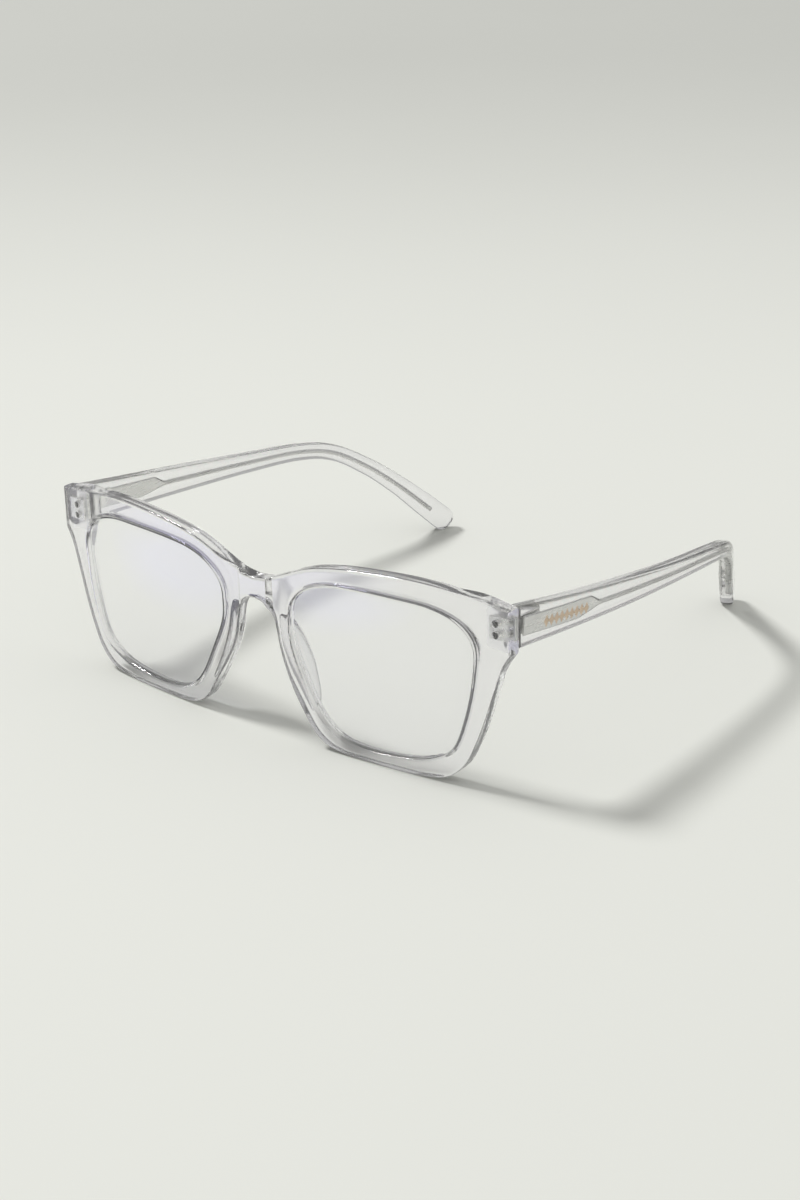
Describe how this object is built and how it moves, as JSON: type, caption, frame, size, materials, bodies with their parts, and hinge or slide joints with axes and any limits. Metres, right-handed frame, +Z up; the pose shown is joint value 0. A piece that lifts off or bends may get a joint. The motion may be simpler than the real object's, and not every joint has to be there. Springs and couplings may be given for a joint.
{
  "type": "eyeglasses",
  "caption": "Square clear acetate eyeglasses: bent front with grooved lenses, built-up nose pads, and wire-cored temples that fold on five-barrel hinges.",
  "frame": {"origin": "centre of the bounding box of the open glasses, on the surface that they stand on", "axes": "+Z up, +X across the face towards the wearer's left, +Y back along the temples"},
  "size_m": [0.1462, 0.139, 0.0492],
  "materials": {
    "clear_acetate": "polished crystal-clear cellulose acetate",
    "coated_lens": "clear plastic lens with a faint lavender anti-reflection coating",
    "nickel_steel": "bright nickel-plated hinges and core wires"
  },
  "bodies": {
    "front": {"front_frame": "clear_acetate", "lens_left": "coated_lens", "nose_pad_left": "clear_acetate", "hinge_front_leaf_left": "nickel_steel", "hinge_screw_left": "nickel_steel", "lens_right": "coated_lens", "nose_pad_right": "clear_acetate", "hinge_front_leaf_right": "nickel_steel", "hinge_screw_right": "nickel_steel"},
    "temple_arm_left": {"temple_left": "clear_acetate", "core_wire_left": "nickel_steel", "hinge_temple_leaf_left": "nickel_steel"},
    "temple_arm_right": {"temple_right": "clear_acetate", "core_wire_right": "nickel_steel", "hinge_temple_leaf_right": "nickel_steel"}
  },
  "joints": [
    {"name": "temple_left_fold", "type": "hinge", "parent": "front", "child": "temple_arm_left", "pos_m": [0.0664, -0.05704, 0.04075], "axis": [0, 0, 1], "range_deg": [0, 82]},
    {"name": "temple_right_fold", "type": "hinge", "parent": "front", "child": "temple_arm_right", "pos_m": [-0.0664, -0.05704, 0.04075], "axis": [0, 0, -1], "range_deg": [0, 74]}
  ]
}
